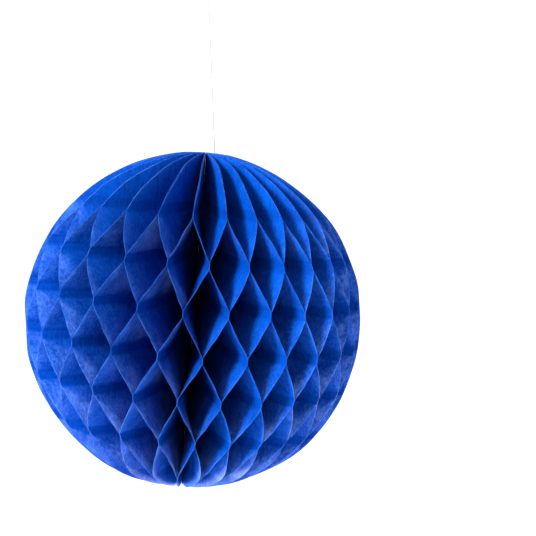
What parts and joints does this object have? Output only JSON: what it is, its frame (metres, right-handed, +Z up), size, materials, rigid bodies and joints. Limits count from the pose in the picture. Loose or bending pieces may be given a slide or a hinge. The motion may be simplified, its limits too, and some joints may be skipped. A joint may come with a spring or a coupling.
{
  "type": "paper honeycomb ball",
  "caption": "Hanging ball of thin blue tissue leaves glued in alternating stripes into honeycomb cells, fanned open round a spine between two card covers, on a thread with a loop.",
  "frame": {"origin": "centre of the opened ball, half way up its spine", "axes": "+Z up along the spine towards the hanging thread, +X to the right and -Y to the viewer"},
  "size_m": [0.1998, 0.1999, 0.3124],
  "materials": {
    "blue_tissue": "thin translucent tissue paper",
    "blue_card": "matte dyed card",
    "adhesive_tape": "double-sided tape",
    "white_glue": "dried white glue",
    "white_thread": "thin cotton thread"
  },
  "bodies": {
    "root": {"fixed_cover": "blue_card", "seam_tape": "adhesive_tape", "spine_bead": "white_glue", "spine_thread": "white_thread", "top_knot": "white_thread", "bottom_knot": "white_thread", "seat_knot": "white_thread", "hanging_thread": "white_thread", "loop_knot": "white_thread", "hanging_loop": "white_thread"},
    "swing_cover": {"swing_cover": "blue_card"},
    "leaf_01": {"tissue_leaf_01": "blue_tissue"},
    "leaf_02": {"tissue_leaf_02": "blue_tissue"},
    "leaf_03": {"tissue_leaf_03": "blue_tissue"},
    "leaf_04": {"tissue_leaf_04": "blue_tissue"},
    "leaf_05": {"tissue_leaf_05": "blue_tissue"},
    "leaf_06": {"tissue_leaf_06": "blue_tissue"},
    "leaf_07": {"tissue_leaf_07": "blue_tissue"},
    "leaf_08": {"tissue_leaf_08": "blue_tissue"},
    "leaf_09": {"tissue_leaf_09": "blue_tissue"},
    "leaf_10": {"tissue_leaf_10": "blue_tissue"},
    "leaf_11": {"tissue_leaf_11": "blue_tissue"},
    "leaf_12": {"tissue_leaf_12": "blue_tissue"},
    "leaf_13": {"tissue_leaf_13": "blue_tissue"},
    "leaf_14": {"tissue_leaf_14": "blue_tissue"},
    "leaf_15": {"tissue_leaf_15": "blue_tissue"},
    "leaf_16": {"tissue_leaf_16": "blue_tissue"},
    "leaf_17": {"tissue_leaf_17": "blue_tissue"},
    "leaf_18": {"tissue_leaf_18": "blue_tissue"},
    "leaf_19": {"tissue_leaf_19": "blue_tissue"},
    "leaf_20": {"tissue_leaf_20": "blue_tissue"},
    "leaf_21": {"tissue_leaf_21": "blue_tissue"},
    "leaf_22": {"tissue_leaf_22": "blue_tissue"},
    "leaf_23": {"tissue_leaf_23": "blue_tissue"},
    "leaf_24": {"tissue_leaf_24": "blue_tissue"},
    "leaf_25": {"tissue_leaf_25": "blue_tissue"},
    "leaf_26": {"tissue_leaf_26": "blue_tissue"},
    "leaf_27": {"tissue_leaf_27": "blue_tissue"},
    "leaf_28": {"tissue_leaf_28": "blue_tissue"},
    "leaf_29": {"tissue_leaf_29": "blue_tissue"},
    "leaf_30": {"tissue_leaf_30": "blue_tissue"},
    "leaf_31": {"tissue_leaf_31": "blue_tissue"},
    "leaf_32": {"tissue_leaf_32": "blue_tissue"},
    "leaf_33": {"tissue_leaf_33": "blue_tissue"},
    "leaf_34": {"tissue_leaf_34": "blue_tissue"},
    "leaf_35": {"tissue_leaf_35": "blue_tissue"},
    "leaf_36": {"tissue_leaf_36": "blue_tissue"},
    "leaf_37": {"tissue_leaf_37": "blue_tissue"},
    "leaf_38": {"tissue_leaf_38": "blue_tissue"},
    "leaf_39": {"tissue_leaf_39": "blue_tissue"},
    "leaf_40": {"tissue_leaf_40": "blue_tissue"},
    "leaf_41": {"tissue_leaf_41": "blue_tissue"},
    "leaf_42": {"tissue_leaf_42": "blue_tissue"},
    "leaf_43": {"tissue_leaf_43": "blue_tissue"},
    "leaf_44": {"tissue_leaf_44": "blue_tissue"},
    "leaf_45": {"tissue_leaf_45": "blue_tissue"},
    "leaf_46": {"tissue_leaf_46": "blue_tissue"},
    "leaf_47": {"tissue_leaf_47": "blue_tissue"},
    "leaf_48": {"tissue_leaf_48": "blue_tissue"}
  },
  "joints": [
    {"name": "cover_swing", "type": "hinge", "parent": "root", "child": "swing_cover", "pos_m": [0, 0, 0], "axis": [0, 0, 1], "range_deg": [-353.4, 0]},
    {"name": "leaf_fan_01", "type": "hinge", "parent": "root", "child": "leaf_01", "pos_m": [0, 0, 0], "axis": [0, 0, 1], "range_deg": [-1.49, 0], "deforming": ["tissue_leaf_01"]},
    {"name": "leaf_fan_02", "type": "hinge", "parent": "root", "child": "leaf_02", "pos_m": [0, 0, 0], "axis": [0, 0, 1], "range_deg": [-8.83, 0], "deforming": ["tissue_leaf_02"]},
    {"name": "leaf_fan_03", "type": "hinge", "parent": "root", "child": "leaf_03", "pos_m": [0, 0, 0], "axis": [0, 0, 1], "range_deg": [-16.31, 0], "deforming": ["tissue_leaf_03"]},
    {"name": "leaf_fan_04", "type": "hinge", "parent": "root", "child": "leaf_04", "pos_m": [0, 0, 0], "axis": [0, 0, 1], "range_deg": [-23.93, 0], "deforming": ["tissue_leaf_04"]},
    {"name": "leaf_fan_05", "type": "hinge", "parent": "root", "child": "leaf_05", "pos_m": [0, 0, 0], "axis": [0, 0, 1], "range_deg": [-31.69, 0], "deforming": ["tissue_leaf_05"]},
    {"name": "leaf_fan_06", "type": "hinge", "parent": "root", "child": "leaf_06", "pos_m": [0, 0, 0], "axis": [0, 0, 1], "range_deg": [-39.59, 0], "deforming": ["tissue_leaf_06"]},
    {"name": "leaf_fan_07", "type": "hinge", "parent": "root", "child": "leaf_07", "pos_m": [0, 0, 0], "axis": [0, 0, 1], "range_deg": [-47.61, 0], "deforming": ["tissue_leaf_07"]},
    {"name": "leaf_fan_08", "type": "hinge", "parent": "root", "child": "leaf_08", "pos_m": [0, 0, 0], "axis": [0, 0, 1], "range_deg": [-55.75, 0], "deforming": ["tissue_leaf_08"]},
    {"name": "leaf_fan_09", "type": "hinge", "parent": "root", "child": "leaf_09", "pos_m": [0, 0, 0], "axis": [0, 0, 1], "range_deg": [-64, 0], "deforming": ["tissue_leaf_09"]},
    {"name": "leaf_fan_10", "type": "hinge", "parent": "root", "child": "leaf_10", "pos_m": [0, 0, 0], "axis": [0, 0, 1], "range_deg": [-72.33, 0], "deforming": ["tissue_leaf_10"]},
    {"name": "leaf_fan_11", "type": "hinge", "parent": "root", "child": "leaf_11", "pos_m": [0, 0, 0], "axis": [0, 0, 1], "range_deg": [-80.75, 0], "deforming": ["tissue_leaf_11"]},
    {"name": "leaf_fan_12", "type": "hinge", "parent": "root", "child": "leaf_12", "pos_m": [0, 0, 0], "axis": [0, 0, 1], "range_deg": [-89.22, 0], "deforming": ["tissue_leaf_12"]},
    {"name": "leaf_fan_13", "type": "hinge", "parent": "root", "child": "leaf_13", "pos_m": [0, 0, 0], "axis": [0, 0, 1], "range_deg": [-97.74, 0], "deforming": ["tissue_leaf_13"]},
    {"name": "leaf_fan_14", "type": "hinge", "parent": "root", "child": "leaf_14", "pos_m": [0, 0, 0], "axis": [0, 0, 1], "range_deg": [-106.28, 0], "deforming": ["tissue_leaf_14"]},
    {"name": "leaf_fan_15", "type": "hinge", "parent": "root", "child": "leaf_15", "pos_m": [0, 0, 0], "axis": [0, 0, 1], "range_deg": [-114.83, 0], "deforming": ["tissue_leaf_15"]},
    {"name": "leaf_fan_16", "type": "hinge", "parent": "root", "child": "leaf_16", "pos_m": [0, 0, 0], "axis": [0, 0, 1], "range_deg": [-123.37, 0], "deforming": ["tissue_leaf_16"]},
    {"name": "leaf_fan_17", "type": "hinge", "parent": "root", "child": "leaf_17", "pos_m": [0, 0, 0], "axis": [0, 0, 1], "range_deg": [-131.87, 0], "deforming": ["tissue_leaf_17"]},
    {"name": "leaf_fan_18", "type": "hinge", "parent": "root", "child": "leaf_18", "pos_m": [0, 0, 0], "axis": [0, 0, 1], "range_deg": [-140.33, 0], "deforming": ["tissue_leaf_18"]},
    {"name": "leaf_fan_19", "type": "hinge", "parent": "root", "child": "leaf_19", "pos_m": [0, 0, 0], "axis": [0, 0, 1], "range_deg": [-148.71, 0], "deforming": ["tissue_leaf_19"]},
    {"name": "leaf_fan_20", "type": "hinge", "parent": "root", "child": "leaf_20", "pos_m": [0, 0, 0], "axis": [0, 0, 1], "range_deg": [-157.02, 0], "deforming": ["tissue_leaf_20"]},
    {"name": "leaf_fan_21", "type": "hinge", "parent": "root", "child": "leaf_21", "pos_m": [0, 0, 0], "axis": [0, 0, 1], "range_deg": [-165.23, 0], "deforming": ["tissue_leaf_21"]},
    {"name": "leaf_fan_22", "type": "hinge", "parent": "root", "child": "leaf_22", "pos_m": [0, 0, 0], "axis": [0, 0, 1], "range_deg": [-173.33, 0], "deforming": ["tissue_leaf_22"]},
    {"name": "leaf_fan_23", "type": "hinge", "parent": "root", "child": "leaf_23", "pos_m": [0, 0, 0], "axis": [0, 0, 1], "range_deg": [-181.3, 0], "deforming": ["tissue_leaf_23"]},
    {"name": "leaf_fan_24", "type": "hinge", "parent": "root", "child": "leaf_24", "pos_m": [0, 0, 0], "axis": [0, 0, 1], "range_deg": [-189.15, 0], "deforming": ["tissue_leaf_24"]},
    {"name": "leaf_fan_25", "type": "hinge", "parent": "root", "child": "leaf_25", "pos_m": [0, 0, 0], "axis": [0, 0, 1], "range_deg": [-196.86, 0], "deforming": ["tissue_leaf_25"]},
    {"name": "leaf_fan_26", "type": "hinge", "parent": "root", "child": "leaf_26", "pos_m": [0, 0, 0], "axis": [0, 0, 1], "range_deg": [-204.43, 0], "deforming": ["tissue_leaf_26"]},
    {"name": "leaf_fan_27", "type": "hinge", "parent": "root", "child": "leaf_27", "pos_m": [0, 0, 0], "axis": [0, 0, 1], "range_deg": [-211.85, 0], "deforming": ["tissue_leaf_27"]},
    {"name": "leaf_fan_28", "type": "hinge", "parent": "root", "child": "leaf_28", "pos_m": [0, 0, 0], "axis": [0, 0, 1], "range_deg": [-219.14, 0], "deforming": ["tissue_leaf_28"]},
    {"name": "leaf_fan_29", "type": "hinge", "parent": "root", "child": "leaf_29", "pos_m": [0, 0, 0], "axis": [0, 0, 1], "range_deg": [-226.28, 0], "deforming": ["tissue_leaf_29"]},
    {"name": "leaf_fan_30", "type": "hinge", "parent": "root", "child": "leaf_30", "pos_m": [0, 0, 0], "axis": [0, 0, 1], "range_deg": [-233.29, 0], "deforming": ["tissue_leaf_30"]},
    {"name": "leaf_fan_31", "type": "hinge", "parent": "root", "child": "leaf_31", "pos_m": [0, 0, 0], "axis": [0, 0, 1], "range_deg": [-240.17, 0], "deforming": ["tissue_leaf_31"]},
    {"name": "leaf_fan_32", "type": "hinge", "parent": "root", "child": "leaf_32", "pos_m": [0, 0, 0], "axis": [0, 0, 1], "range_deg": [-246.93, 0], "deforming": ["tissue_leaf_32"]},
    {"name": "leaf_fan_33", "type": "hinge", "parent": "root", "child": "leaf_33", "pos_m": [0, 0, 0], "axis": [0, 0, 1], "range_deg": [-253.59, 0], "deforming": ["tissue_leaf_33"]},
    {"name": "leaf_fan_34", "type": "hinge", "parent": "root", "child": "leaf_34", "pos_m": [0, 0, 0], "axis": [0, 0, 1], "range_deg": [-260.15, 0], "deforming": ["tissue_leaf_34"]},
    {"name": "leaf_fan_35", "type": "hinge", "parent": "root", "child": "leaf_35", "pos_m": [0, 0, 0], "axis": [0, 0, 1], "range_deg": [-266.64, 0], "deforming": ["tissue_leaf_35"]},
    {"name": "leaf_fan_36", "type": "hinge", "parent": "root", "child": "leaf_36", "pos_m": [0, 0, 0], "axis": [0, 0, 1], "range_deg": [-273.07, 0], "deforming": ["tissue_leaf_36"]},
    {"name": "leaf_fan_37", "type": "hinge", "parent": "root", "child": "leaf_37", "pos_m": [0, 0, 0], "axis": [0, 0, 1], "range_deg": [-279.46, 0], "deforming": ["tissue_leaf_37"]},
    {"name": "leaf_fan_38", "type": "hinge", "parent": "root", "child": "leaf_38", "pos_m": [0, 0, 0], "axis": [0, 0, 1], "range_deg": [-285.82, 0], "deforming": ["tissue_leaf_38"]},
    {"name": "leaf_fan_39", "type": "hinge", "parent": "root", "child": "leaf_39", "pos_m": [0, 0, 0], "axis": [0, 0, 1], "range_deg": [-292.18, 0], "deforming": ["tissue_leaf_39"]},
    {"name": "leaf_fan_40", "type": "hinge", "parent": "root", "child": "leaf_40", "pos_m": [0, 0, 0], "axis": [0, 0, 1], "range_deg": [-298.55, 0], "deforming": ["tissue_leaf_40"]},
    {"name": "leaf_fan_41", "type": "hinge", "parent": "root", "child": "leaf_41", "pos_m": [0, 0, 0], "axis": [0, 0, 1], "range_deg": [-304.95, 0], "deforming": ["tissue_leaf_41"]},
    {"name": "leaf_fan_42", "type": "hinge", "parent": "root", "child": "leaf_42", "pos_m": [0, 0, 0], "axis": [0, 0, 1], "range_deg": [-311.4, 0], "deforming": ["tissue_leaf_42"]},
    {"name": "leaf_fan_43", "type": "hinge", "parent": "root", "child": "leaf_43", "pos_m": [0, 0, 0], "axis": [0, 0, 1], "range_deg": [-317.91, 0], "deforming": ["tissue_leaf_43"]},
    {"name": "leaf_fan_44", "type": "hinge", "parent": "root", "child": "leaf_44", "pos_m": [0, 0, 0], "axis": [0, 0, 1], "range_deg": [-324.51, 0], "deforming": ["tissue_leaf_44"]},
    {"name": "leaf_fan_45", "type": "hinge", "parent": "root", "child": "leaf_45", "pos_m": [0, 0, 0], "axis": [0, 0, 1], "range_deg": [-331.21, 0], "deforming": ["tissue_leaf_45"]},
    {"name": "leaf_fan_46", "type": "hinge", "parent": "root", "child": "leaf_46", "pos_m": [0, 0, 0], "axis": [0, 0, 1], "range_deg": [-338.01, 0], "deforming": ["tissue_leaf_46"]},
    {"name": "leaf_fan_47", "type": "hinge", "parent": "root", "child": "leaf_47", "pos_m": [0, 0, 0], "axis": [0, 0, 1], "range_deg": [-344.94, 0], "deforming": ["tissue_leaf_47"]},
    {"name": "leaf_fan_48", "type": "hinge", "parent": "root", "child": "leaf_48", "pos_m": [0, 0, 0], "axis": [0, 0, 1], "range_deg": [-352, 0], "deforming": ["tissue_leaf_48"]}
  ],
  "couplings": [
    {"joint": "leaf_fan_01", "follows": "cover_swing", "ratio": 0.004194},
    {"joint": "leaf_fan_02", "follows": "cover_swing", "ratio": 0.024951},
    {"joint": "leaf_fan_03", "follows": "cover_swing", "ratio": 0.046113},
    {"joint": "leaf_fan_04", "follows": "cover_swing", "ratio": 0.06768},
    {"joint": "leaf_fan_05", "follows": "cover_swing", "ratio": 0.089643},
    {"joint": "leaf_fan_06", "follows": "cover_swing", "ratio": 0.11199},
    {"joint": "leaf_fan_07", "follows": "cover_swing", "ratio": 0.13469},
    {"joint": "leaf_fan_08", "follows": "cover_swing", "ratio": 0.15773},
    {"joint": "leaf_fan_09", "follows": "cover_swing", "ratio": 0.18106},
    {"joint": "leaf_fan_10", "follows": "cover_swing", "ratio": 0.20465},
    {"joint": "leaf_fan_11", "follows": "cover_swing", "ratio": 0.22846},
    {"joint": "leaf_fan_12", "follows": "cover_swing", "ratio": 0.25244},
    {"joint": "leaf_fan_13", "follows": "cover_swing", "ratio": 0.27655},
    {"joint": "leaf_fan_14", "follows": "cover_swing", "ratio": 0.30072},
    {"joint": "leaf_fan_15", "follows": "cover_swing", "ratio": 0.32491},
    {"joint": "leaf_fan_16", "follows": "cover_swing", "ratio": 0.34906},
    {"joint": "leaf_fan_17", "follows": "cover_swing", "ratio": 0.37312},
    {"joint": "leaf_fan_18", "follows": "cover_swing", "ratio": 0.39704},
    {"joint": "leaf_fan_19", "follows": "cover_swing", "ratio": 0.42078},
    {"joint": "leaf_fan_20", "follows": "cover_swing", "ratio": 0.44428},
    {"joint": "leaf_fan_21", "follows": "cover_swing", "ratio": 0.46751},
    {"joint": "leaf_fan_22", "follows": "cover_swing", "ratio": 0.49042},
    {"joint": "leaf_fan_23", "follows": "cover_swing", "ratio": 0.51299},
    {"joint": "leaf_fan_24", "follows": "cover_swing", "ratio": 0.5352},
    {"joint": "leaf_fan_25", "follows": "cover_swing", "ratio": 0.55702},
    {"joint": "leaf_fan_26", "follows": "cover_swing", "ratio": 0.57843},
    {"joint": "leaf_fan_27", "follows": "cover_swing", "ratio": 0.59944},
    {"joint": "leaf_fan_28", "follows": "cover_swing", "ratio": 0.62005},
    {"joint": "leaf_fan_29", "follows": "cover_swing", "ratio": 0.64026},
    {"joint": "leaf_fan_30", "follows": "cover_swing", "ratio": 0.66009},
    {"joint": "leaf_fan_31", "follows": "cover_swing", "ratio": 0.67956},
    {"joint": "leaf_fan_32", "follows": "cover_swing", "ratio": 0.6987},
    {"joint": "leaf_fan_33", "follows": "cover_swing", "ratio": 0.71754},
    {"joint": "leaf_fan_34", "follows": "cover_swing", "ratio": 0.73612},
    {"joint": "leaf_fan_35", "follows": "cover_swing", "ratio": 0.75448},
    {"joint": "leaf_fan_36", "follows": "cover_swing", "ratio": 0.77267},
    {"joint": "leaf_fan_37", "follows": "cover_swing", "ratio": 0.79075},
    {"joint": "leaf_fan_38", "follows": "cover_swing", "ratio": 0.80875},
    {"joint": "leaf_fan_39", "follows": "cover_swing", "ratio": 0.82673},
    {"joint": "leaf_fan_40", "follows": "cover_swing", "ratio": 0.84475},
    {"joint": "leaf_fan_41", "follows": "cover_swing", "ratio": 0.86286},
    {"joint": "leaf_fan_42", "follows": "cover_swing", "ratio": 0.88111},
    {"joint": "leaf_fan_43", "follows": "cover_swing", "ratio": 0.89955},
    {"joint": "leaf_fan_44", "follows": "cover_swing", "ratio": 0.91823},
    {"joint": "leaf_fan_45", "follows": "cover_swing", "ratio": 0.93717},
    {"joint": "leaf_fan_46", "follows": "cover_swing", "ratio": 0.95643},
    {"joint": "leaf_fan_47", "follows": "cover_swing", "ratio": 0.97603},
    {"joint": "leaf_fan_48", "follows": "cover_swing", "ratio": 0.996}
  ]
}
